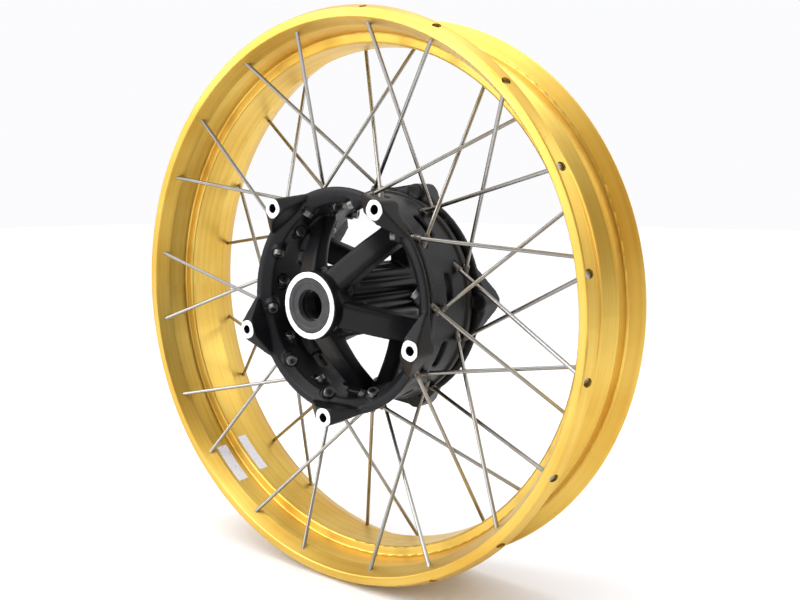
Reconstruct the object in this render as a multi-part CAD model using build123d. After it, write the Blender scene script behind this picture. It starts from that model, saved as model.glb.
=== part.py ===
from build123d import *
from math import cos, degrees, radians, sin
import os

# Cross-spoked motorcycle front wheel, in millimetres. The origin is the wheel's centre and the axle lies along Y.
# The wheel stands upright, Z is up, and -Y is the wheel's left side. Angles are measured about the axle from +X
# towards +Z. A half turn about an axis in the wheel's middle plane carries the left side onto the right side.

# ---- Rim: 19 x 3.00, spokes anchored in the outer lips ----
RIM_HALF_WIDTH = 51.6          # outer face of a lip
LIP_OUTER_R = 252.0            # where the lip's side face meets the spoke-hole band
LIP_INNER_R = 244.6            # where the lip's side face meets the inner cone
FLANGE_R = 256.0               # top of the flange
FLANGE_Y = 42.3                # inner edge of the spoke-hole band
BEAD_SEAT_R = 241.9            # bead seat at the foot of the flange
BEAD_SEAT_Y = 38.3             # half of the 3.00 inch width
SEAT_END_R = 240.7
SEAT_END_Y = 26.2
HUMP_R = 241.5
HUMP_Y = 24.2
SEAT_FOOT_R = 240.2
SEAT_FOOT_Y = 21.8
WELL_R = 231.4                 # tyre side of the well
WELL_Y = 14.2
WELL_UNDER_R = 227.6           # hub side of the well
WELL_UNDER_Y = 17.0
STEP_R = 236.2                 # foot of the step beside the well
STEP_Y = 18.4
SEAT_UNDER_R = 238.9           # underside of the bead seat, where the lip's cone begins
SEAT_UNDER_Y = 37.8
LIP_DRAFT = 0.4                # how far the lip's face leans in at its inner end
LIP_CORNER_R = 1.2
LIP_CROWN_R = 1.5
FLANGE_EDGE_R = 0.7
SEAT_CORNER_R = 2.6
HUMP_CORNER_R = 0.5
WELL_CORNER_R = 4.0
UNDER_CORNER_R = 1.9
CONE_CORNER_R = 5.0

# ---- Lacing: 10 clusters of 2 spokes to each rim edge ----
CLUSTERS = 10
CLUSTER_PITCH = 360 / CLUSTERS
LEFT_CLUSTER_ANGLE = 18.0      # clusters of the spokes that end in the left rim edge
FAN_ANGLE = 26.07              # from the cluster to the rim entry, about the axle
CROSSING_R = 100.0             # where the two spokes of a cluster cross
OUTER_CROSSING_Y = 26.4        # the cluster's outer spoke, on the side away from its rim edge
INNER_CROSSING_Y = 14.0        # the cluster's inner spoke
RIM_ENTRY_R = 240.2
RIM_ENTRY_Y = 42.2

SPOKE_R = 1.75
SPOKE_THREAD_IN = 16.0         # how far the spoke reaches into its nipple, behind the crossing
SPOKE_HOLE_R = 1.9
LIP_PATH = 14.3                # from the rim entry to the spoke-hole band, along the spoke
SPOKE_HEAD_R = 3.15
SPOKE_HEAD_LENGTH = 3.0
SPOKE_HEAD_RECESS = 1.6
SPOKE_HOLE_LEAD = 10.0         # how far a spoke hole's cutter starts before the rim entry
COUNTERBORE_R = 3.6
COUNTERBORE_MOUTH = 4.0        # how far the counterbore's cutter runs past the band

NIPPLE_SLEEVE_R = 3.0
NIPPLE_SLEEVE_OUT = 3.0        # how far the sleeve stands past the crossing
NIPPLE_SEAT = 18.5             # from the crossing in to the seat under the head
NIPPLE_HEAD_R = 5.0
NIPPLE_HEAD_LENGTH = 4.6
NIPPLE_CHAMFER = 0.6
NIPPLE_BORE_R = 1.8
NIPPLE_HOLE_R = 3.05
SOCKET_R = 2.1
SOCKET_LOBE_R = 0.75
SOCKET_DEPTH = 3.4
SOCKET_LOBES = 6
SEAT_PAD_R = 6.8
SEAT_PAD_DEPTH = 6.5
SEAT_CUT_R = 5.4
SEAT_CUT_LENGTH = 12.0
NIPPLE_HOLE_REACH = 8.0        # how far the nipple hole's cutter runs past the crossing
OVERRUN = 1.0                  # how far other cutters run past the faces they open

# ---- Hub: one aluminium casting ----
DRUM_R = 97.0
DRUM_Y = 23.0
BAND_R = 99.5                  # the slightly thicker band on each side of the drum
BAND_Y = 31.0
BAND_BEVEL = 1.5
GROOVE_R = 92.8
GROOVE_Y = 36.0
GROOVE_BEVEL = 1.0
COLLAR_R = 102.5
COLLAR_Y = 41.0
MOUTH_R = 96.0
DRUM_INNER_R = 88.0
DRUM_INNER_Y = 34.0
DRUM_DRAFT = 1.0               # the drum's inside narrows by this much at the middle plane
SLOTS = 10
SLOT_ANGLE = 9.0
SLOT_LENGTH = 27.0
SLOT_WIDTH = 8.0
SLOT_REACH = 2.5               # how far a slot's cutter starts inside the drum's wall

BOSSES = 5
BOSS_PITCH = 360 / BOSSES
LEFT_BOSS_ANGLE = 54.0
BOSS_PCD = 204.8
BOSS_R = 8.4
BOSS_FACE_Y = 58.7
BOSS_ROOT_Y = 34.0
DISC_BOLT_HOLE_R = 4.0
DISC_BOLT_HOLE_DEPTH = 20.0
LOBE_HALF_ANGLE = 15.0
LOBE_FOOT_R = 3.0              # corner of the lobe's plan where it runs into the collar
LOBE_INNER_R = 92.0
LOBE_ROOT = 4.0                # how deep a lobe's foot reaches into the collar
LOBE_DROP = 1.0                # the machined boss face stands this far out of the lobe
LOBE_TOP_HALF_WIDTH = 9.0
LOBE_FOOT_HALF_WIDTH = 31.0

# Each arm starts at its bearing seat and ends on the drum's wall at the middle plane.
# Radius, then the distances of its outer and inner faces from the middle plane.
ARM_STATIONS = (
    (22.0, 68.0, 42.0),
    (35.0, 57.0, 36.0),
    (50.0, 44.8, 24.5),
    (60.0, 35.5, 15.5),
    (71.0, 23.6, 4.0),
    (80.0, 15.5, -5.5),
    (91.0, 11.0, -11.0),
)
ARM_WIDTH = 24.0
ARM_CORNER_R = 5.0
RIB_ANGLES = (0.0, 27.0, 54.0)  # ribs along the barrel: under both sides' arms and midway between
RIB_CENTRE_R = 28.0
RIB_R = 5.0
RIB_HALF_LENGTH = 50.0

BARREL_R = 27.5
BARREL_END_R = 30.1
BARREL_END_Y = 66.0
BARREL_FLARE = 6.0             # length of the flare behind the bearing end
HUB_FACE_Y = 74.7
HUB_FACE_CHAMFER = 0.8
CAVITY_R = 21.5

# ---- Bearings 25 x 47 x 12, shaft seals and the tube between the bearings ----
AXLE_R = 12.5
BEARING_OUTER_R = 23.5
BEARING_WIDTH = 12.0
BEARING_INNER_Y = 54.0         # bearing face towards the wheel's middle
PITCH_R = 18.0
BALLS = 10
BALL_R = 3.175
RACE_R = 3.30
RACE_CLEARANCE = 0.04          # radial, on each side of a ball
INNER_SHOULDER_R = 15.9
OUTER_SHOULDER_R = 20.1
SHIELD_SEAT_R = 21.3
SHIELD_SEAT_DEPTH = 1.5
SHIELD_INSET = 0.4
SHIELD_THICKNESS = 0.8
SHIELD_BORE_R = 16.3
CAGE_INNER_R = 16.9
CAGE_OUTER_R = 19.1
CAGE_WIDTH = 8.0
CAGE_POCKET_R = 3.30
SEAL_OUTER_R = 23.5
SEAL_CASE_INNER_R = 20.6
SEAL_LIP_R = 13.0
SEAL_LIP_ROOT_R = 15.2
SEAL_FACE_Y = 74.0
SEAL_DISC_THICKNESS = 2.0
SEAL_DISC_DIP = 0.8            # how far the face sits back between the case and the lip
SEAL_DEPTH = 7.2
SEAL_LIP_DEPTH = 5.0
SEAL_LIP_TIP = 0.9             # thickness of the lip at its tip
SEAL_LIP_DRAFT = 1.0           # the lip opens out by this much towards the face
SEAL_CASE_BEVEL = 1.5
TUBE_OUTER_R = 15.5

# ---- Small features of the rim ----
VALVE_HOLE_ANGLE = 49.2
VALVE_HOLE_R = 4.15
VALVE_PAD_R = 8.5
VALVE_PAD_HEIGHT = 1.0
VALVE_CUT_START = -5.0         # the valve hole's cutter, from the pad's face
VALVE_CUT_END = 15.0
LABEL_ANGLE = 229.2
LABEL_LENGTH = 44.0
LABEL_THICKNESS = 0.3
SEAT_LABEL_Y = (24.5, 35.5)
WELL_LABEL_Y = (3.0, 13.6)


def turned(shape, angle):
    """The shape carried about the axle from +X to the given angle."""
    return Rot(0, -angle, 0) * shape


def other_side(shape):
    """The shape's twin on the right side of the wheel, by a half turn about an axis in the middle plane."""
    half = radians(LEFT_BOSS_ANGLE / 2)
    return shape.rotate(Axis((0, 0, 0), (cos(half), 0, sin(half))), 180)


def ring_solid(points, radii=0):
    """A ring about the axle from the corners of its section, as (radius, y) pairs."""
    outline = FilletPolyline(*points, radius=radii, close=True) if radii else Polyline(*points, close=True)
    return revolve(make_face(outline), Axis.Y, 360)


def mirrored(points):
    """A section's right half, (radius, y) pairs from the middle outwards, continued by its left half."""
    return [(r, -y) for r, y in reversed(points)] + points


def cylinder_along(plane, radius, start, end):
    """A cylinder along a plane's normal, from start to end."""
    return plane.offset(start).location * extrude(Circle(radius), end - start)


def spoke_line(cluster, lean):
    """The plane whose origin is the crossing and whose normal is the spoke, and the length to the rim entry.

    Left rim edge only. lean is +1 for the outer spoke, which leans towards larger angles, and -1 for the inner.
    """
    start_angle = radians(LEFT_CLUSTER_ANGLE + cluster * CLUSTER_PITCH)
    end_angle = start_angle + radians(lean * FAN_ANGLE)
    crossing_y = OUTER_CROSSING_Y if lean > 0 else INNER_CROSSING_Y
    start = Vector(CROSSING_R * cos(start_angle), crossing_y, CROSSING_R * sin(start_angle))
    end = Vector(RIM_ENTRY_R * cos(end_angle), -RIM_ENTRY_Y, RIM_ENTRY_R * sin(end_angle))
    return Plane(origin=start, z_dir=end - start), (end - start).length


LACING = [(cluster, lean) for cluster in range(CLUSTERS) for lean in (1, -1)]


# ---- Rim ----
def make_rim():
    hub_side = [
        (WELL_UNDER_R, WELL_UNDER_Y),
        (STEP_R, STEP_Y),
        (SEAT_UNDER_R, SEAT_UNDER_Y),
        (LIP_INNER_R, RIM_HALF_WIDTH - LIP_DRAFT),
        (LIP_OUTER_R, RIM_HALF_WIDTH),
        (FLANGE_R, FLANGE_Y),
    ]
    hub_side_radii = [UNDER_CORNER_R, UNDER_CORNER_R, CONE_CORNER_R, LIP_CORNER_R, LIP_CROWN_R, FLANGE_EDGE_R]
    tyre_side = [
        (WELL_R, WELL_Y),
        (SEAT_FOOT_R, SEAT_FOOT_Y),
        (HUMP_R, HUMP_Y),
        (SEAT_END_R, SEAT_END_Y),
        (BEAD_SEAT_R, BEAD_SEAT_Y),
    ]
    tyre_side_radii = [WELL_CORNER_R, HUMP_CORNER_R, HUMP_CORNER_R, HUMP_CORNER_R, SEAT_CORNER_R]
    points = mirrored(hub_side) + list(reversed(mirrored(tyre_side)))
    radii = hub_side_radii[::-1] + hub_side_radii + tyre_side_radii[::-1] + tyre_side_radii
    rim = ring_solid(points, radii)

    pad_plane = Plane(origin=(WELL_UNDER_R - VALVE_PAD_HEIGHT, 0, 0), z_dir=(1, 0, 0))
    rim += turned(cylinder_along(pad_plane, VALVE_PAD_R, 0, 2 * VALVE_PAD_HEIGHT), VALVE_HOLE_ANGLE)
    cutters = [turned(cylinder_along(pad_plane, VALVE_HOLE_R, VALVE_CUT_START, VALVE_CUT_END), VALVE_HOLE_ANGLE)]
    for cluster, lean in LACING:
        line, length = spoke_line(cluster, lean)
        band = length + LIP_PATH
        seat = band - SPOKE_HEAD_RECESS - SPOKE_HEAD_LENGTH
        hole = cylinder_along(line, SPOKE_HOLE_R, length - SPOKE_HOLE_LEAD, seat)
        mouth = cylinder_along(line, COUNTERBORE_R, seat, band + COUNTERBORE_MOUTH)
        for cutter in (hole, mouth):
            cutters.append(cutter)
            cutters.append(other_side(cutter))
    return rim - cutters


def make_label(y_range, radius_at):
    """A thin blank label bent along the rim's underside, between two distances from the middle plane."""
    near, far = y_range
    section = Polyline(
        (radius_at(near), -near),
        (radius_at(far), -far),
        (radius_at(far) - LABEL_THICKNESS, -far),
        (radius_at(near) - LABEL_THICKNESS, -near),
        close=True,
    )
    span = degrees(LABEL_LENGTH / radius_at(near))
    label = revolve(make_face(section), Axis.Y, span)
    return turned(label, LABEL_ANGLE + span / 2)


def seat_underside(y):
    return STEP_R + (SEAT_UNDER_R - STEP_R) * (y - STEP_Y) / (SEAT_UNDER_Y - STEP_Y)


# ---- Spokes and nipples ----
def make_spoke(cluster, lean):
    line, length = spoke_line(cluster, lean)
    tip = length + LIP_PATH - SPOKE_HEAD_RECESS
    shaft = cylinder_along(line, SPOKE_R, -SPOKE_THREAD_IN, tip - SPOKE_HEAD_LENGTH)
    return shaft + cylinder_along(line, SPOKE_HEAD_R, tip - SPOKE_HEAD_LENGTH, tip)


def make_nipple():
    """A nipple along +Z, with the crossing at the origin and its head at the lower end."""
    foot = -NIPPLE_SEAT - NIPPLE_HEAD_LENGTH
    head = cylinder_along(Plane.XY, NIPPLE_HEAD_R, foot, -NIPPLE_SEAT)
    head = chamfer(head.faces().sort_by(Axis.Z)[0].edges(), NIPPLE_CHAMFER)
    sleeve = cylinder_along(Plane.XY, NIPPLE_SLEEVE_R, -NIPPLE_SEAT, NIPPLE_SLEEVE_OUT)
    sleeve = chamfer(sleeve.faces().sort_by(Axis.Z)[-1].edges(), NIPPLE_CHAMFER)
    bore = cylinder_along(Plane.XY, NIPPLE_BORE_R, foot + SOCKET_DEPTH, NIPPLE_SLEEVE_OUT + OVERRUN)
    socket = cylinder_along(Plane.XY, SOCKET_R, foot - OVERRUN, foot + SOCKET_DEPTH)
    lobes = [
        Pos(SOCKET_R * cos(radians(a)), SOCKET_R * sin(radians(a)), 0)
        * cylinder_along(Plane.XY, SOCKET_LOBE_R, foot - OVERRUN, foot + SOCKET_DEPTH)
        for a in range(0, 360, 360 // SOCKET_LOBES)
    ]
    return head + sleeve - [bore, socket] - lobes


# ---- Hub ----
def make_drum():
    outside = [
        (DRUM_R, DRUM_Y),
        (BAND_R, DRUM_Y + BAND_BEVEL),
        (BAND_R, BAND_Y),
        (GROOVE_R, BAND_Y + GROOVE_BEVEL),
        (GROOVE_R, GROOVE_Y - GROOVE_BEVEL),
        (COLLAR_R, GROOVE_Y),
        (COLLAR_R, COLLAR_Y),
        (MOUTH_R, COLLAR_Y),
        (DRUM_INNER_R, DRUM_INNER_Y),
    ]
    return ring_solid(mirrored(outside) + [(DRUM_INNER_R - DRUM_DRAFT, 0)])


def make_barrel():
    half = [
        (BARREL_R, BARREL_END_Y - BARREL_FLARE),
        (BARREL_END_R, BARREL_END_Y),
        (BARREL_END_R, HUB_FACE_Y - HUB_FACE_CHAMFER),
        (BARREL_END_R - HUB_FACE_CHAMFER, HUB_FACE_Y),
        (CAVITY_R, HUB_FACE_Y),
    ]
    return ring_solid(mirrored(half))


def make_barrel_bore():
    """The room for the tube, both bearings and both seals."""
    seat = cylinder_along(Plane.XZ, BEARING_OUTER_R, BEARING_INNER_Y, HUB_FACE_Y + OVERRUN)
    cavity = cylinder_along(Plane.XZ, CAVITY_R, -BEARING_INNER_Y, BEARING_INNER_Y)
    return cavity + [seat, other_side(seat)]


def make_arm():
    """One left arm, towards +X."""
    sections = []
    for radius, outer, inner in ARM_STATIONS:
        station = Plane(origin=(radius, -(outer + inner) / 2, 0), x_dir=(0, 1, 0), z_dir=(1, 0, 0))
        sections.append(station * RectangleRounded(outer - inner, ARM_WIDTH, ARM_CORNER_R))
    return loft(sections, ruled=True)


def make_rib():
    """One rounded rib along the barrel, towards +X."""
    return Pos(RIB_CENTRE_R, 0, 0) * cylinder_along(Plane.XZ, RIB_R, -RIB_HALF_LENGTH, RIB_HALF_LENGTH)


def make_lobe():
    """One left lobe with its disc boss, towards +X."""
    boss_r = BOSS_PCD / 2
    foot = radians(LOBE_HALF_ANGLE)
    foot_x = (COLLAR_R - LOBE_FOOT_R) * cos(foot)
    foot_z = (COLLAR_R - LOBE_FOOT_R) * sin(foot)
    rounds = [Pos(boss_r, 0) * Circle(BOSS_R)]
    rounds += [Pos(foot_x, side * foot_z) * Circle(LOBE_FOOT_R) for side in (1, -1)]
    plan = make_hull([edge for circle in rounds for edge in circle.edges()])
    plan -= Circle(LOBE_INNER_R)
    top = BOSS_FACE_Y - LOBE_DROP
    body = Plane.XZ.offset(COLLAR_Y - LOBE_ROOT).location * extrude(plan, top - COLLAR_Y + LOBE_ROOT)
    side = Plane.YZ.location * make_face(Polyline(
        (-COLLAR_Y + LOBE_ROOT, LOBE_FOOT_HALF_WIDTH),
        (-COLLAR_Y, LOBE_FOOT_HALF_WIDTH),
        (-top, LOBE_TOP_HALF_WIDTH),
        (-top, -LOBE_TOP_HALF_WIDTH),
        (-COLLAR_Y, -LOBE_FOOT_HALF_WIDTH),
        (-COLLAR_Y + LOBE_ROOT, -LOBE_FOOT_HALF_WIDTH),
        close=True,
    ))
    body &= extrude(side, 2 * boss_r)
    boss = Pos(boss_r, 0, 0) * cylinder_along(Plane.XZ, BOSS_R, BOSS_ROOT_Y, BOSS_FACE_Y)
    return body + boss


def make_slot():
    slot = Plane.YZ.location * SlotOverall(SLOT_LENGTH, SLOT_WIDTH, rotation=90)
    return Pos(DRUM_INNER_R - SLOT_REACH, 0, 0) * extrude(slot, 2 * (DRUM_R - DRUM_INNER_R))


def make_hub():
    boss_hole = Pos(BOSS_PCD / 2, 0, 0) * cylinder_along(
        Plane.XZ, DISC_BOLT_HOLE_R, BOSS_FACE_Y - DISC_BOLT_HOLE_DEPTH, BOSS_FACE_Y + OVERRUN)
    arm = make_arm()
    lobe = make_lobe()
    added = []
    removed = []
    for boss in range(BOSSES):
        angle = LEFT_BOSS_ANGLE + boss * BOSS_PITCH
        added += [turned(arm, angle), turned(lobe, angle)]
        removed.append(turned(boss_hole, angle))
    for cluster, lean in LACING:
        line, _ = spoke_line(cluster, lean)
        added.append(cylinder_along(line, SEAT_PAD_R, -NIPPLE_SEAT, SEAT_PAD_DEPTH - NIPPLE_SEAT))
        removed.append(cylinder_along(line, NIPPLE_HOLE_R, -NIPPLE_SEAT - OVERRUN, NIPPLE_HOLE_REACH))
        removed.append(cylinder_along(line, SEAT_CUT_R, -NIPPLE_SEAT - SEAT_CUT_LENGTH, -NIPPLE_SEAT))
    added += [other_side(shape) for shape in added]
    removed += [other_side(shape) for shape in removed]
    slot = make_slot()
    removed += [turned(slot, SLOT_ANGLE + n * 360 / SLOTS) for n in range(SLOTS)]
    rib = make_rib()
    ribs = [turned(rib, start + boss * BOSS_PITCH) for start in RIB_ANGLES for boss in range(BOSSES)]
    hub = make_drum() + [make_barrel()] + ribs + added
    return hub - removed - make_barrel_bore()


# ---- Left bearing, seal and the tube ----
def make_bearing():
    """The left bearing's pieces by name."""
    middle = BEARING_INNER_Y + BEARING_WIDTH / 2
    half = BEARING_WIDTH / 2
    recess = half - SHIELD_SEAT_DEPTH
    outer = ring_solid([
        (BEARING_OUTER_R, -half), (BEARING_OUTER_R, half), (SHIELD_SEAT_R, half), (SHIELD_SEAT_R, recess),
        (OUTER_SHOULDER_R, recess), (OUTER_SHOULDER_R, -recess), (SHIELD_SEAT_R, -recess), (SHIELD_SEAT_R, -half),
    ])
    inner = ring_solid([(AXLE_R, -half), (AXLE_R, half), (INNER_SHOULDER_R, half), (INNER_SHOULDER_R, -half)])
    shift = RACE_R - BALL_R - RACE_CLEARANCE
    outer -= Rot(90, 0, 0) * Torus(PITCH_R - shift, RACE_R)
    inner -= Rot(90, 0, 0) * Torus(PITCH_R + shift, RACE_R)

    ball = Pos(PITCH_R, 0, 0) * Sphere(BALL_R)
    pocket = Pos(PITCH_R, 0, 0) * Sphere(CAGE_POCKET_R)
    cage_half = CAGE_WIDTH / 2
    cage = ring_solid([
        (CAGE_INNER_R, -cage_half), (CAGE_INNER_R, cage_half),
        (CAGE_OUTER_R, cage_half), (CAGE_OUTER_R, -cage_half),
    ])
    steps = [n * 360 / BALLS for n in range(BALLS)]
    cage -= [turned(pocket, a) for a in steps]
    shield_out = half - SHIELD_INSET
    shield = ring_solid([
        (SHIELD_BORE_R, shield_out - SHIELD_THICKNESS), (SHIELD_BORE_R, shield_out),
        (SHIELD_SEAT_R, shield_out), (SHIELD_SEAT_R, shield_out - SHIELD_THICKNESS),
    ])
    pieces = {
        "outer_ring": outer,
        "inner_ring": inner,
        "balls": Compound(children=[turned(ball, a) for a in steps]),
        "cage": cage,
        "shields": Compound(children=[shield, mirror(shield, Plane.XZ)]),
    }
    return {name: Pos(0, -middle, 0) * piece for name, piece in pieces.items()}


def make_shaft_seal():
    face = -SEAL_FACE_Y
    dip = face + SEAL_DISC_DIP
    disc_back = face + SEAL_DISC_DIP + SEAL_DISC_THICKNESS
    return ring_solid([
        (SEAL_OUTER_R, face),
        (SEAL_OUTER_R, face + SEAL_DEPTH),
        (SEAL_CASE_INNER_R, face + SEAL_DEPTH),
        (SEAL_CASE_INNER_R, disc_back),
        (SEAL_LIP_ROOT_R, disc_back),
        (SEAL_LIP_R + SEAL_LIP_TIP, face + SEAL_LIP_DEPTH),
        (SEAL_LIP_R, face + SEAL_LIP_DEPTH),
        (SEAL_LIP_R + SEAL_LIP_DRAFT, dip),
        (SEAL_CASE_INNER_R - SEAL_CASE_BEVEL, dip),
        (SEAL_CASE_INNER_R, face),
    ])


def make_tube():
    return ring_solid([
        (AXLE_R, -BEARING_INNER_Y), (AXLE_R, BEARING_INNER_Y),
        (TUBE_OUTER_R, BEARING_INNER_Y), (TUBE_OUTER_R, -BEARING_INNER_Y),
    ])


def build_all():
    """Every piece of the wheel by node name."""
    parts = {"rim": make_rim(), "hub": make_hub(), "axle_spacer_tube": make_tube()}
    nipple = make_nipple()
    nipples = []
    for cluster, lean in LACING:
        spoke = make_spoke(cluster, lean)
        kind = "outer" if lean > 0 else "inner"
        parts[f"spoke_left_{cluster + 1:02d}_{kind}"] = spoke
        parts[f"spoke_right_{cluster + 1:02d}_{kind}"] = other_side(spoke)
        nipples.append(spoke_line(cluster, lean)[0].location * nipple)
    parts["nipples_left_spokes"] = Compound(children=nipples)
    parts["nipples_right_spokes"] = Compound(children=[other_side(n) for n in nipples])
    left = {f"bearing_left_{name}": piece for name, piece in make_bearing().items()}
    left["shaft_seal_left"] = make_shaft_seal()
    parts.update(left)
    parts.update({name.replace("left", "right"): other_side(piece) for name, piece in left.items()})
    parts["rim_label_outer"] = make_label(SEAT_LABEL_Y, seat_underside)
    parts["rim_label_middle"] = make_label(WELL_LABEL_Y, lambda y: WELL_UNDER_R)
    return parts


os.makedirs("parts", exist_ok=True)
for node, shape in build_all().items():
    export_step(shape, f"parts/{node}.step")
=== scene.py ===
"""Studio scene of a cross-spoked motorcycle wheel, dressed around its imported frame."""

import logging
import random
from dataclasses import dataclass, field
from enum import Enum
from typing import Any, Optional, Union

import bpy
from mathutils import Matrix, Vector


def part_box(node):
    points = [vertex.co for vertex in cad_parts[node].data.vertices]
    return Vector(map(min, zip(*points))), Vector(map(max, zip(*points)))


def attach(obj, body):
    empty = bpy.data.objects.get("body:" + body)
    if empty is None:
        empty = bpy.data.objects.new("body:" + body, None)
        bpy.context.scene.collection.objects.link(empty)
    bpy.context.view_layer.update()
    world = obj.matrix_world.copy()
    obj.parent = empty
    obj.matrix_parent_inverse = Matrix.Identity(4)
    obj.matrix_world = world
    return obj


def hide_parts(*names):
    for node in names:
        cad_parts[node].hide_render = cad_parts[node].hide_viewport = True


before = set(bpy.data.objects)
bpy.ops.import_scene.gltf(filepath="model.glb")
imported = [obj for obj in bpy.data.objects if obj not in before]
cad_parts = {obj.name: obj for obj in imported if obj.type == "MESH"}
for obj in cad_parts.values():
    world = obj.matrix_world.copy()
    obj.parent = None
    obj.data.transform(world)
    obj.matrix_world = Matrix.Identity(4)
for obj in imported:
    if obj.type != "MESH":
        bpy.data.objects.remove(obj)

log = logging.getLogger("wheel")
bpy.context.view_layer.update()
MM = 0.001
Colour = tuple[float, float, float]
Step = tuple[float, float]


class Stain(Enum):
    """How far a spoke has browned since it was new."""

    CLEAN = 0.0
    STRAW = 0.45
    BROWN = 0.85


@dataclass(frozen=True)
class Value:
    """A number that varies over a surface: a shader socket with Python's arithmetic."""

    graph: "Graph"
    socket: bpy.types.NodeSocket

    def math(self, operation: str, *others: "Number") -> "Value":
        """Adds one Math node.

        Args:
            operation: Blender's name for the operation.
            others: the operands after this one.

        Returns:
            The node's result.
        """
        sockets = dict(enumerate((self, *others)))
        return self.graph.node("ShaderNodeMath", {"operation": operation}, sockets)

    def __add__(self, other: "Number") -> "Value":
        """Sum."""
        return self.math("ADD", other)

    def __radd__(self, other: "Number") -> "Value":
        """Sum, with the number first."""
        return self.math("ADD", other)

    def __sub__(self, other: "Number") -> "Value":
        """Difference."""
        return self.math("SUBTRACT", other)

    def __rsub__(self, other: float) -> "Value":
        """Difference, with the number first."""
        return (self * -1.0) + other

    def __mul__(self, other: "Number") -> "Value":
        """Product."""
        return self.math("MULTIPLY", other)

    def __rmul__(self, other: "Number") -> "Value":
        """Product, with the number first."""
        return self.math("MULTIPLY", other)

    def __pow__(self, other: "Number") -> "Value":
        """Power."""
        return self.math("POWER", other)

    def __abs__(self) -> "Value":
        """Size without its sign."""
        return self.math("ABSOLUTE")

    def ramp(self, low: float, high: float) -> "Value":
        """A smooth step from 0 at low to 1 at high, or falling when high is the smaller."""
        settings = {"interpolation_type": "SMOOTHSTEP"}
        first, last, start, end = (low, high, 0.0, 1.0) if low < high else (high, low, 1.0, 0.0)
        sockets = {"Value": self, "From Min": first, "From Max": last, "To Min": start, "To Max": end}
        return self.graph.node("ShaderNodeMapRange", settings, sockets)


Number = Union[Value, float]


class Graph:
    """A node tree under construction, and the place that its patterns are read at."""

    def __init__(self, tree: bpy.types.NodeTree, place: str) -> None:
        """Starts a graph in a tree.

        Args:
            tree: the node tree.
            place: the texture coordinate that gives the place.
        """
        self.tree = tree
        self.place = self.node("ShaderNodeTexCoord", {}, {}, out=place)

    def node(self, kind: str, settings: dict[str, Any], sockets: dict[Any, Any], out: Any = 0) -> Value:
        """Adds any node.

        Args:
            kind: the node's type.
            settings: its settings, made before its sockets are filled.
            sockets: values or links by socket name or number.
            out: the output wanted.

        Returns:
            That output.
        """
        made = self.tree.nodes.new(kind)
        for name, setting in settings.items():
            setattr(made, name, setting)
        for name, content in sockets.items():
            self.fill(made.inputs[name], content)
        return Value(self, made.outputs[out])

    def fill(self, target: bpy.types.NodeSocket, content: Any) -> None:
        """Links a value to a socket, or sets the socket to a plain number, colour or vector."""
        if isinstance(content, Value):
            self.tree.links.new(content.socket, target)
        else:
            target.default_value = content


class Shader(Graph):
    """A material under construction, with the few node patterns that the finishes share."""

    def __init__(self, name: str) -> None:
        """Makes an empty material with one Principled shader.

        Args:
            name: the material's name.
        """
        self.material = bpy.data.materials.new(name)
        self.material.use_nodes = True
        super().__init__(self.material.node_tree, "Object")
        self.x, self.y, self.z = (
            self.node("ShaderNodeSeparateXYZ", {}, {"Vector": self.place}, out=axis) for axis in "XYZ")

    def radius(self) -> Value:
        """Distance from the axle."""
        return (self.x * self.x + self.z * self.z) ** 0.5

    def around(self) -> Value:
        """Angle about the axle, in radians."""
        return self.z.math("ARCTAN2", self.x)

    def point(self, x: Number, y: Number, z: Number) -> Value:
        """A vector from three numbers."""
        return self.node("ShaderNodeCombineXYZ", {}, {0: x, 1: y, 2: z})

    def noise(self, scale: float, detail: float = 3.0, at: Optional[Value] = None) -> Value:
        """Fractal noise.

        Args:
            scale: features per metre, or per unit of the vector given.
            detail: octaves.
            at: the vector it is read at, the place on the piece by default.

        Returns:
            A number near 0.5, between 0 and 1.
        """
        sockets = {"Vector": at or self.place, "Scale": scale, "Detail": detail}
        return self.node("ShaderNodeTexNoise", {}, sockets)

    def mix(self, share: Number, first: Any, second: Any) -> Value:
        """A colour between two colours."""
        first, second = (c if isinstance(c, Value) else (*c, 1.0) for c in (first, second))
        settings = {"data_type": "RGBA"}
        return self.node("ShaderNodeMix", settings, {0: share, 6: first, 7: second}, out=2)

    def bump(self, height: Value, depth: float, strength: float, after: Optional[Value] = None) -> Value:
        """A bumped normal.

        Args:
            height: from 0 to 1.
            depth: the height of 1, in metres.
            strength: the share of it that shows.
            after: an earlier bump to add to.

        Returns:
            The normal.
        """
        sockets = {"Height": height, "Distance": depth, "Strength": strength}
        if after is not None:
            sockets["Normal"] = after
        return self.node("ShaderNodeBump", {}, sockets)

    def finish(self, **sockets: Any) -> bpy.types.Material:
        """Fills the Principled shader's sockets, named with underscores, and returns the material."""
        body = self.tree.nodes["Principled BSDF"]
        for name, content in sockets.items():
            self.fill(body.inputs[name.replace("_", " ").title().replace("Ior", "IOR")], content)
        return self.material


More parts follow.
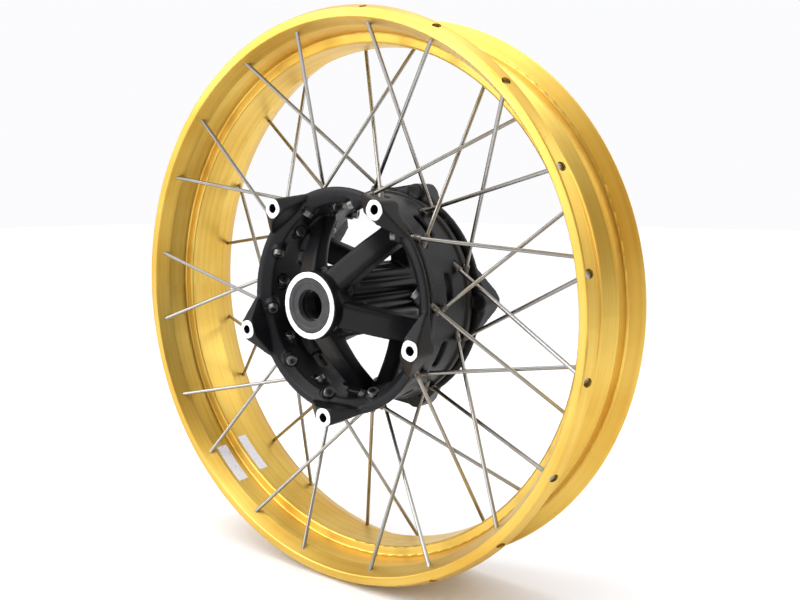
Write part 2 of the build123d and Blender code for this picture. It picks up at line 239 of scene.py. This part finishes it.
@dataclass(frozen=True)
class GoldAnodising:
    """Satin gold anodising over a turned and brushed rim."""

    name: str = "gold_anodising"
    light: Colour = (0.76, 0.53, 0.125)
    deep: Colour = (0.59, 0.325, 0.04)
    grime: Colour = (0.30, 0.17, 0.05)
    roughness: float = 0.33
    # Features per metre across the turning lines, and how far a line runs for each radian.
    line_scale: float = 5200.0
    band_scale: float = 260.0
    line_run: float = 0.004
    # Features per metre of what lies over the lines.
    cloud_scale: float = 9.0
    speck_scale: float = 420.0
    speck_field_scale: float = 24.0
    rub_scale: float = 60.0
    ripple_scale: float = 35.0
    # Where each pattern begins and is whole, in the noise's own units.
    cloud_step: Step = (0.35, 0.7)
    band_step: Step = (0.3, 0.75)
    speck_step: Step = (0.70, 0.76)
    speck_field_step: Step = (0.5, 0.68)
    rub_step: Step = (0.58, 0.74)
    # How much of each pattern shows in the colour, and how much it roughens the surface.
    cloud_share: float = 0.55
    band_share: float = 0.35
    speck_share: float = 0.6
    line_roughness: float = 0.07
    rub_roughness: float = 0.10
    cloud_roughness: float = 0.06
    # Depths in metres, and the share of each that shows.
    line_depth: float = 0.01 * MM
    line_strength: float = 0.5
    ripple_depth: float = 0.25 * MM
    ripple_strength: float = 0.12

    def make(self) -> bpy.types.Material:
        """Builds the material: turning lines round the axle, cloudy colour, specks and light rubs."""
        s = Shader(self.name)
        lines_at = s.point(s.radius(), s.y, s.around() * self.line_run)
        lines = s.noise(self.line_scale, 2.0, lines_at)
        bands = s.noise(self.band_scale, 2.0, lines_at).ramp(*self.band_step)
        cloud = s.noise(self.cloud_scale, 4.0)
        field_of_specks = s.noise(self.speck_field_scale, 2.0).ramp(*self.speck_field_step)
        specks = s.noise(self.speck_scale, 2.0).ramp(*self.speck_step) * field_of_specks
        rubs = s.noise(self.rub_scale, 6.0).ramp(*self.rub_step)
        depth_of_colour = cloud.ramp(*self.cloud_step) * self.cloud_share + bands * self.band_share
        colour = s.mix(depth_of_colour, self.light, self.deep)
        colour = s.mix(specks * self.speck_share, colour, self.grime)
        rough = (self.roughness + lines * self.line_roughness + rubs * self.rub_roughness
                 + cloud * self.cloud_roughness)
        ripple = s.bump(s.noise(self.ripple_scale), self.ripple_depth, self.ripple_strength)
        normal = s.bump(lines, self.line_depth, self.line_strength, ripple)
        return s.finish(base_color=colour, metallic=1.0, roughness=rough, normal=normal)


@dataclass(frozen=True)
class BlackCoat:
    """Satin black coating on a casting, with the bolt and bearing faces turned bare."""

    name: str = "black_coat"
    coat: Colour = (0.0048, 0.0048, 0.006)
    dust: Colour = (0.022, 0.0215, 0.0215)
    bare: Colour = (0.93, 0.93, 0.93)
    roughness: float = 0.36
    specular: float = 0.24
    # The machined faces: their distance from the middle plane, and the radius that each begins at.
    boss_face: float = 58.7 * MM
    boss_from: float = 90.0 * MM
    ring_face: float = 74.7 * MM
    ring_from: float = 23.7 * MM
    skin: float = 0.35 * MM
    # Features per metre.
    grain_scale: float = 650.0
    cast_scale: float = 85.0
    patch_scale: float = 22.0
    lathe_scale: float = 3800.0
    patch_step: Step = (0.45, 0.75)
    grain_step: Step = (0.35, 0.6)
    patch_share: float = 0.45
    grain_share: float = 0.35
    patch_roughness: float = 0.16
    grain_roughness: float = 0.08
    machined_roughness: float = 0.34
    lathe_roughness: float = 0.12
    machined_metal: float = 0.3
    cast_depth: float = 0.45 * MM
    cast_strength: float = 0.35
    lathe_depth: float = 0.01 * MM
    lathe_strength: float = 0.4

    def _face(self, s: Shader, face: float, begins: float, edge: float) -> Value:
        """Marks one ring of machined surface.

        Args:
            s: the material's shader.
            face: the surface's distance from the middle plane.
            begins: the radius that it begins at.
            edge: the width over which it fades in.

        Returns:
            1 on the surface and 0 off it.
        """
        reached = abs(s.y).ramp(face - 2 * self.skin, face - self.skin)
        return reached * s.radius().ramp(begins - edge, begins)

    def make(self) -> bpy.types.Material:
        """Builds the material: cast grain, dust in patches, and bright rings where it is machined."""
        s = Shader(self.name)
        boss = self._face(s, self.boss_face, self.boss_from, MM)
        ring = self._face(s, self.ring_face, self.ring_from, self.skin)
        machined = boss.math("MAXIMUM", ring)
        coated = 1 - machined
        grain = s.noise(self.grain_scale)
        cast = s.noise(self.cast_scale, 4.0)
        patches = s.noise(self.patch_scale, 4.0).ramp(*self.patch_step)
        dusty = patches * self.patch_share * grain.ramp(*self.grain_step)
        colour = s.mix(machined, s.mix(dusty, self.coat, self.dust), self.bare)
        lathe = s.noise(self.lathe_scale, 1.0, s.point(s.radius(), s.y, 0.0))
        cast_rough = self.roughness + patches * self.patch_roughness + grain * self.grain_roughness
        turned_rough = self.machined_roughness + lathe * self.lathe_roughness
        rough = cast_rough * coated + machined * turned_rough
        height = (grain * self.grain_share + cast * (1.0 - self.grain_share)) * coated
        turned = s.bump(lathe * machined, self.lathe_depth, self.lathe_strength)
        normal = s.bump(height, self.cast_depth, self.cast_strength, turned)
        return s.finish(base_color=colour, metallic=machined * self.machined_metal, roughness=rough,
                        normal=normal, specular_ior_level=self.specular)


@dataclass(frozen=True)
class StainlessWire:
    """Drawn stainless spoke wire, browned more or less."""

    stain: Stain = Stain.CLEAN
    steel: Colour = (0.36, 0.36, 0.355)
    straw: Colour = (0.29, 0.25, 0.185)
    soot: Colour = (0.13, 0.12, 0.105)
    roughness: float = 0.27
    # The radii between which the wire darkens towards the hub.
    clean_from: float = 200.0 * MM
    dark_to: float = 105.0 * MM
    # Features per metre.
    cloud_scale: float = 55.0
    pit_scale: float = 900.0
    draw_scale: float = 1600.0
    cloud_step: Step = (0.40, 0.66)
    pit_step: Step = (0.56, 0.70)
    # The straw tint: how much a stain, any wire and the hub's end each bring.
    stain_share: float = 0.75
    least_share: float = 0.12
    hub_share: float = 0.22
    pit_share: float = 0.15
    hub_pit_share: float = 0.4
    pit_roughness: float = 0.2
    cloud_roughness: float = 0.08
    draw_depth: float = 0.03 * MM
    draw_strength: float = 0.25

    def make(self) -> bpy.types.Material:
        """Builds the material: tint and pitting that grow towards the hub end."""
        s = Shader(f"stainless_wire_{self.stain.name.lower()}")
        to_hub = s.radius().ramp(self.clean_from, self.dark_to)
        cloud = s.noise(self.cloud_scale, 4.0)
        pits = s.noise(self.pit_scale).ramp(*self.pit_step)
        cloudy = self.stain.value * self.stain_share + self.least_share
        tint = cloud.ramp(*self.cloud_step) * cloudy + to_hub * self.hub_share
        colour = s.mix(tint, self.steel, self.straw)
        colour = s.mix(pits * (to_hub * self.hub_pit_share + self.pit_share), colour, self.soot)
        rough = self.roughness + pits * self.pit_roughness + cloud * self.cloud_roughness
        normal = s.bump(s.noise(self.draw_scale, 2.0), self.draw_depth, self.draw_strength)
        return s.finish(base_color=colour, metallic=1.0, roughness=rough, normal=normal)


@dataclass(frozen=True)
class PlatedSteel:
    """Dull plating with rust coming through."""

    name: str = "plated_nipple"
    plate: Colour = (0.20, 0.195, 0.185)
    rust: Colour = (0.075, 0.052, 0.036)
    roughness: float = 0.36
    # The radii between which the drum's shelter ends.
    sheltered_to: float = 92.0 * MM
    open_from: float = 102.0 * MM
    # Features per metre.
    rust_scale: float = 380.0
    pit_scale: float = 1300.0
    rust_step: Step = (0.44, 0.62)
    rust_outside: float = 0.65
    rust_everywhere: float = 0.12
    rust_roughness: float = 0.45
    rust_dulls: float = 0.7
    pit_depth: float = 0.12 * MM
    pit_strength: float = 0.4

    def make(self) -> bpy.types.Material:
        """Builds the material: rust on the sleeves outside the drum, cleaner heads inside."""
        s = Shader(self.name)
        outside = s.radius().ramp(self.sheltered_to, self.open_from)
        reach = outside * self.rust_outside + self.rust_everywhere
        rust = s.noise(self.rust_scale, 4.0).ramp(*self.rust_step) * reach
        colour = s.mix(rust, self.plate, self.rust)
        rough = self.roughness + rust * self.rust_roughness
        normal = s.bump(s.noise(self.pit_scale), self.pit_depth, self.pit_strength)
        metal = 1 - rust * self.rust_dulls
        return s.finish(base_color=colour, metallic=metal, roughness=rough, normal=normal)


@dataclass(frozen=True)
class TurnedSteel:
    """Ground or turned steel, with lines round the axle."""

    name: str
    steel: Colour = (0.56, 0.56, 0.57)
    stained: Colour = (0.33, 0.28, 0.22)
    roughness: float = 0.24
    wear: float = 0.3
    # Features per metre, and how far a turning line runs for each radian.
    line_scale: float = 4200.0
    line_run: float = 0.002
    patch_scale: float = 140.0
    patch_step: Step = (0.45, 0.7)
    line_roughness: float = 0.1
    patch_roughness: float = 0.3
    line_depth: float = 0.01 * MM
    line_strength: float = 0.5

    def make(self) -> bpy.types.Material:
        """Builds the material."""
        s = Shader(self.name)
        lines = s.noise(self.line_scale, 2.0, s.point(s.radius(), s.y, s.around() * self.line_run))
        patch = s.noise(self.patch_scale, 4.0).ramp(*self.patch_step) * self.wear
        colour = s.mix(patch, self.steel, self.stained)
        rough = self.roughness + lines * self.line_roughness + patch * self.patch_roughness
        normal = s.bump(lines, self.line_depth, self.line_strength)
        return s.finish(base_color=colour, metallic=1.0, roughness=rough, normal=normal)


@dataclass(frozen=True)
class MouldedRubber:
    """Black seal rubber with a dry bloom."""

    name: str = "seal_rubber"
    rubber: Colour = (0.018, 0.018, 0.020)
    bloom: Colour = (0.050, 0.049, 0.048)
    roughness: float = 0.52
    # Features per metre.
    ring_scale: float = 900.0
    bloom_scale: float = 160.0
    grain_scale: float = 1500.0
    bloom_step: Step = (0.42, 0.72)
    bloom_share: float = 0.7
    bloom_roughness: float = 0.15
    ring_depth: float = 0.12 * MM
    ring_strength: float = 0.45
    grain_depth: float = 0.05 * MM
    grain_strength: float = 0.4

    def make(self) -> bpy.types.Material:
        """Builds the material: moulding rings and patches of bloom."""
        s = Shader(self.name)
        rings = s.noise(self.ring_scale, 1.0, s.point(s.radius(), 0.0, 0.0))
        bloom = s.noise(self.bloom_scale, 5.0).ramp(*self.bloom_step)
        colour = s.mix(bloom * self.bloom_share, self.rubber, self.bloom)
        grain = s.bump(s.noise(self.grain_scale, 2.0), self.grain_depth, self.grain_strength)
        normal = s.bump(rings, self.ring_depth, self.ring_strength, grain)
        rough = self.roughness + bloom * self.bloom_roughness
        return s.finish(base_color=colour, metallic=0.0, roughness=rough, normal=normal)


@dataclass(frozen=True)
class BlankFoil:
    """A blank foil label, crinkled, dulled and scuffed."""

    name: str = "blank_foil"
    foil: Colour = (0.80, 0.79, 0.84)
    scuff: Colour = (0.50, 0.49, 0.53)
    roughness: float = 0.42
    metal: float = 0.35
    # Features per metre.
    crinkle_scale: float = 210.0
    scuff_scale: float = 520.0
    crinkle_step: Step = (0.4, 0.6)
    scuff_step: Step = (0.5, 0.7)
    scuff_share: float = 0.7
    scuff_roughness: float = 0.2
    crinkle_depth: float = 0.3 * MM
    crinkle_strength: float = 0.45

    def make(self) -> bpy.types.Material:
        """Builds the material: crinkles, with scuffs along them."""
        s = Shader(self.name)
        crinkle = s.noise(self.crinkle_scale, 5.0)
        scuff = s.noise(self.scuff_scale, 4.0).ramp(*self.scuff_step) * crinkle.ramp(*self.crinkle_step)
        colour = s.mix(scuff * self.scuff_share, self.foil, self.scuff)
        normal = s.bump(crinkle, self.crinkle_depth, self.crinkle_strength)
        rough = self.roughness + scuff * self.scuff_roughness
        return s.finish(base_color=colour, metallic=self.metal, roughness=rough, normal=normal)


@dataclass(frozen=True)
class PaperSweep:
    """The pale studio floor."""

    name: str = "pale_floor"
    paper: Colour = (0.90, 0.90, 0.915)
    shade: Colour = (0.87, 0.87, 0.885)
    glow: Colour = (0.24, 0.24, 0.245)
    glow_from: float = 0.7
    glow_to: float = 4.0
    roughness: float = 0.8
    specular: float = 0.1
    # Features per metre.
    cloud_scale: float = 3.0
    tooth_scale: float = 500.0
    cloud_step: Step = (0.4, 0.7)
    tooth_depth: float = 0.1 * MM
    tooth_strength: float = 0.2

    def make(self) -> bpy.types.Material:
        """Builds the material: matte, a trace uneven, and fading into the light far from the wheel."""
        s = Shader(self.name)
        colour = s.mix(s.noise(self.cloud_scale).ramp(*self.cloud_step), self.paper, self.shade)
        normal = s.bump(s.noise(self.tooth_scale, 2.0), self.tooth_depth, self.tooth_strength)
        away = (s.x * s.x + s.y * s.y) ** 0.5
        glow = s.mix(away.ramp(self.glow_from, self.glow_to), (0.0, 0.0, 0.0), self.glow)
        return s.finish(base_color=colour, roughness=self.roughness, normal=normal,
                        specular_ior_level=self.specular, emission_color=glow, emission_strength=1.0)


def dress(name: str, material: bpy.types.Material) -> None:
    """Gives a frame node its material.

    Args:
        name: the node.
        material: its new material.
    """
    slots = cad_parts[name].data.materials
    slots.clear()
    slots.append(material)


def new_piece(name: str, mesh: bpy.types.Mesh, material: bpy.types.Material) -> bpy.types.Object:
    """Links a new object with one material into the scene.

    Args:
        name: the object's name.
        mesh: its mesh.
        material: its only material.

    Returns:
        The object.
    """
    piece = bpy.data.objects.new(name, mesh)
    bpy.context.scene.collection.objects.link(piece)
    mesh.materials.clear()
    mesh.materials.append(material)
    return piece


@dataclass
class Rim:
    """The tubeless rim and its two labels."""

    node: str = "rim"
    labels: tuple[str, ...] = ("rim_label_outer", "rim_label_middle")
    finish: GoldAnodising = field(default_factory=GoldAnodising)
    label_finish: BlankFoil = field(default_factory=BlankFoil)

    def build(self) -> None:
        """Dresses the rim and the labels."""
        dress(self.node, self.finish.make())
        log.info("rim dressed in %s", self.finish.name)
        foil = self.label_finish.make()
        for label in self.labels:
            dress(label, foil)
            log.info("%s dressed in %s", label, self.label_finish.name)


@dataclass
class Hub:
    """The cast hub, with the casting's rounded inner corners."""

    node: str = "hub"
    body: str = "wheel"
    voxel: float = 1.15 * MM
    quick_coarser: float = 2.0
    smoothing: float = 0.5
    passes: int = 5
    slot: str = "hub_black"
    finish: BlackCoat = field(default_factory=BlackCoat)

    def _cast(self) -> bpy.types.Mesh:
        """The hub's solid with its corners rounded as a casting's are.

        Returns:
            The finished mesh.
        """
        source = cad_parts[self.node]
        rough = bpy.data.objects.new("hub_pattern", source.data.copy())
        bpy.context.scene.collection.objects.link(rough)
        skin = rough.modifiers.new("skin", "REMESH")
        skin.mode = "VOXEL"
        skin.voxel_size = self.voxel * 1.0
        skin.use_smooth_shade = True
        fillet = rough.modifiers.new("fillet", "SMOOTH")
        fillet.factor = self.smoothing
        fillet.iterations = self.passes
        bpy.context.view_layer.update()
        seen = rough.evaluated_get(bpy.context.evaluated_depsgraph_get())
        mesh = bpy.data.meshes.new_from_object(seen)
        bpy.data.objects.remove(rough, do_unlink=True)
        mesh.name = "hub_casting"
        return mesh

    def build(self) -> None:
        """Replaces the hub's solid by the casting."""
        casting = new_piece("hub_casting", self._cast(), self.finish.make())
        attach(casting, self.body)
        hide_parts(self.node)
        log.info("hub_casting: %d faces", len(casting.data.polygons))


@dataclass
class Lacing:
    """Forty spokes and their nipples."""

    seed: int = 7
    odds: tuple[tuple[Stain, float], ...] = ((Stain.CLEAN, 0.5), (Stain.STRAW, 0.3), (Stain.BROWN, 0.2))
    nipple_finish: PlatedSteel = field(default_factory=PlatedSteel)

    def build(self) -> None:
        """Dresses every spoke by chance in one of the stains, and both sets of nipples."""
        wires = {stain: StainlessWire(stain).make() for stain, _ in self.odds}
        draw = random.Random(self.seed)
        stains, weights = zip(*self.odds)
        spokes = sorted(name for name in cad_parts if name.startswith("spoke_"))
        for spoke in spokes:
            stain = draw.choices(stains, weights)[0]
            dress(spoke, wires[stain])
            log.info("%s dressed, %s", spoke, stain.name.lower())
        plating = self.nipple_finish.make()
        for side in ("left", "right"):
            dress(f"nipples_{side}_spokes", plating)
            log.info("nipples_%s_spokes dressed", side)


@dataclass
class AxleSet:
    """Both bearings, both seals and the tube between the inner rings."""

    ring: TurnedSteel = TurnedSteel("ground_ring", (0.30, 0.30, 0.31), roughness=0.3)
    ball: TurnedSteel = TurnedSteel("ball_steel", roughness=0.12, wear=0.05)
    cage: TurnedSteel = TurnedSteel("pressed_cage", (0.45, 0.44, 0.42), wear=0.4)
    shield: TurnedSteel = TurnedSteel("pressed_shield", (0.48, 0.48, 0.48))
    tube: TurnedSteel = TurnedSteel("drawn_tube", (0.05, 0.05, 0.05), (0.03, 0.027, 0.024), roughness=0.5)
    rubber: MouldedRubber = field(default_factory=MouldedRubber)

    def build(self) -> None:
        """Dresses each piece on both sides."""
        finishes = {
            "outer_ring": self.ring.make(),
            "balls": self.ball.make(),
            "cage": self.cage.make(),
            "shields": self.shield.make(),
        }
        finishes["inner_ring"] = finishes["outer_ring"]
        rubber = self.rubber.make()
        for side in ("left", "right"):
            for part, material in finishes.items():
                dress(f"bearing_{side}_{part}", material)
                log.info("bearing_%s_%s dressed", side, part)
            dress(f"shaft_seal_{side}", rubber)
            log.info("shaft_seal_%s dressed", side)
        dress("axle_spacer_tube", self.tube.make())
        log.info("axle_spacer_tube dressed")


@dataclass
class Studio:
    """Pale floor, soft lights and the camera."""

    floor_half: float = 9.0
    camera_at: tuple[float, float, float] = (0.53499, -0.62787, 0.09424)
    looks_along: tuple[float, float, float] = (-0.61371, 0.78099, -0.11580)
    lens: float = 40.18
    film_width: float = 36.0
    sky_bright: float = 0.97
    sky_dim: float = 0.46
    sky_from: tuple[float, float, float] = (-0.96, 0.52, 0.62)
    sky_span: Step = (-0.70, 0.30)
    sky_tint: Colour = (1.0, 1.0, 1.015)
    # Each light: name, place, width, height, watts.
    lights: tuple[tuple[str, tuple[float, float, float], float, float, float], ...] = (
        ("overhead", (-0.15, -0.25, 1.55), 1.6, 1.6, 20.0),
        ("left_front", (-0.9, -1.3, 0.75), 1.0, 1.2, 17.0),
        ("right_rear", (1.3, 0.9, 0.8), 0.9, 1.2, 8.0),
    )

    def _floor(self) -> None:
        """Lays the floor under the rim."""
        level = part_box("rim")[0].z
        half = self.floor_half
        corners = [(-half, -half, level), (half, -half, level), (half, half, level), (-half, half, level)]
        mesh = bpy.data.meshes.new("floor")
        mesh.from_pydata(corners, [], [(0, 1, 2, 3)])
        new_piece("floor", mesh, PaperSweep().make())

    def _sky(self) -> None:
        """Lights everything softly from all round, brighter from behind the wheel and above."""
        world = bpy.data.worlds.new("studio")
        bpy.context.scene.world = world
        world.use_nodes = True
        sky = Graph(world.node_tree, "Generated")
        brightest = Vector(self.sky_from).normalized()
        dot = {"operation": "DOT_PRODUCT"}
        lean = sky.node("ShaderNodeVectorMath", dot, {0: sky.place, 1: brightest}, out="Value")
        background = world.node_tree.nodes["Background"]
        sky.fill(background.inputs["Color"], (*self.sky_tint, 1.0))
        bright = lean.ramp(*self.sky_span) * (self.sky_bright - self.sky_dim) + self.sky_dim
        sky.fill(background.inputs["Strength"], bright)

    def _softboxes(self) -> None:
        """Hangs the soft lights, each turned to the hub."""
        for name, place, width, height, watts in self.lights:
            lamp = bpy.data.lights.new(name, "AREA")
            lamp.shape = "RECTANGLE"
            lamp.size, lamp.size_y = width, height
            lamp.energy = watts
            stand = bpy.data.objects.new(name, lamp)
            stand.location = place
            stand.rotation_mode = "QUATERNION"
            stand.rotation_quaternion = (-Vector(place)).to_track_quat("-Z", "Y")
            bpy.context.scene.collection.objects.link(stand)

    def _camera(self) -> None:
        """Sets up the camera, with no roll, a little above the axle and looking slightly down."""
        lens = bpy.data.cameras.new("camera")
        lens.lens = self.lens
        lens.sensor_width = self.film_width
        lens.dof.use_dof = False
        camera = bpy.data.objects.new("camera", lens)
        camera.location = self.camera_at
        camera.rotation_mode = "QUATERNION"
        camera.rotation_quaternion = Vector(self.looks_along).to_track_quat("-Z", "Y")
        bpy.context.scene.collection.objects.link(camera)
        bpy.context.scene.camera = camera

    def build(self) -> None:
        """Builds the whole studio."""
        bpy.context.scene.view_settings.view_transform = "Standard"
        self._floor()
        self._sky()
        self._softboxes()
        self._camera()
        log.info("studio: %d lights", len(self.lights))


def main() -> None:
    """Builds the wheel, then the studio."""
    logging.basicConfig(level=logging.INFO, format="%(name)s: %(message)s")
    for assembly in (Rim(), Hub(), Lacing(), AxleSet(), Studio()):
        assembly.build()


if __name__ == "__main__":
    main()
